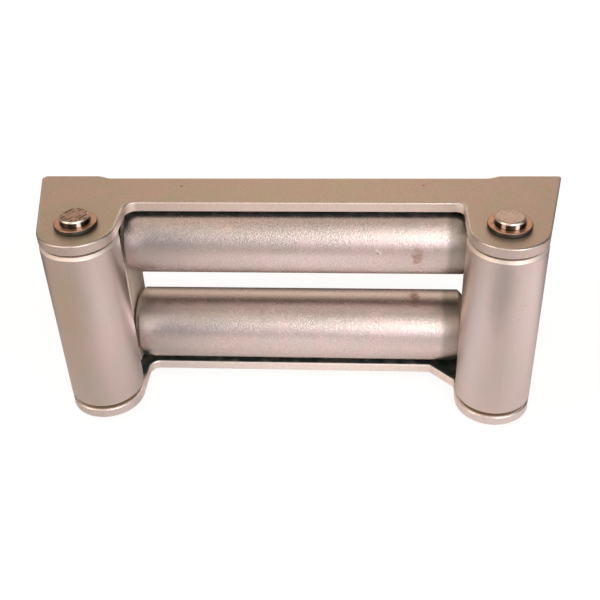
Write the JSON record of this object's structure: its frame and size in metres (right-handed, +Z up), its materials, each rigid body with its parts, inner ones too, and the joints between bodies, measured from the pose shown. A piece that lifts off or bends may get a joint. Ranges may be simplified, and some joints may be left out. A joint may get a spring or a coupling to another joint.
{
  "type": "roller fairlead",
  "caption": "Welded steel frame that carries upright rollers in front of level rollers, so a winch rope leads through the space between them at any angle without chafing.",
  "frame": {"origin": "centre of the mounting bolt pattern, on the rear mounting plane", "axes": "+X to the right along the level rollers, +Y to the rear out of the mounting plane, +Z up along the upright rollers"},
  "size_m": [0.294, 0.0783, 0.1314],
  "materials": {
    "zinc_plate": "satin zinc plating with a warm mottled tone and lighter cut edges",
    "zinc_weld": "zinc plating over rippled weld metal",
    "upright_roller": "smooth satin zinc plating",
    "level_roller": "grainy zinc plating over rolled tube",
    "pin_steel": "bright zinc plating, sawn ends with rounded edges",
    "ring_steel": "polished spring steel with a warm tone",
    "bush_bronze": "plain turned bronze"
  },
  "bodies": {
    "frame": {"top_plate": "zinc_plate", "bottom_plate": "zinc_plate", "left_end_plate": "zinc_plate", "right_end_plate": "zinc_plate", "left_mounting_flange": "zinc_plate", "right_mounting_flange": "zinc_plate", "weld_beads": "zinc_weld", "left_pin": "pin_steel", "right_pin": "pin_steel", "upper_pin": "pin_steel", "lower_pin": "pin_steel", "left_pin_top_ring": "ring_steel", "left_pin_bottom_ring": "ring_steel", "right_pin_top_ring": "ring_steel", "right_pin_bottom_ring": "ring_steel", "upper_pin_left_ring": "ring_steel", "upper_pin_right_ring": "ring_steel", "lower_pin_left_ring": "ring_steel", "lower_pin_right_ring": "ring_steel"},
    "left_roller": {"left_roller": "upright_roller", "left_roller_top_bush": "bush_bronze", "left_roller_bottom_bush": "bush_bronze"},
    "right_roller": {"right_roller": "upright_roller", "right_roller_top_bush": "bush_bronze", "right_roller_bottom_bush": "bush_bronze"},
    "upper_roller": {"upper_roller": "level_roller", "upper_roller_left_bush": "bush_bronze", "upper_roller_right_bush": "bush_bronze"},
    "lower_roller": {"lower_roller": "level_roller", "lower_roller_left_bush": "bush_bronze", "lower_roller_right_bush": "bush_bronze"}
  },
  "joints": [
    {"name": "left_roller_spin", "type": "hinge", "parent": "frame", "child": "left_roller", "pos_m": [-0.113, -0.0572, 0], "axis": [0, 0, 1], "continuous": true},
    {"name": "right_roller_spin", "type": "hinge", "parent": "frame", "child": "right_roller", "pos_m": [0.113, -0.0572, 0], "axis": [0, 0, 1], "continuous": true},
    {"name": "upper_roller_spin", "type": "hinge", "parent": "frame", "child": "upper_roller", "pos_m": [0, -0.0214, 0.031], "axis": [1, 0, 0], "continuous": true},
    {"name": "lower_roller_spin", "type": "hinge", "parent": "frame", "child": "lower_roller", "pos_m": [0, -0.0214, -0.031], "axis": [1, 0, 0], "continuous": true}
  ]
}
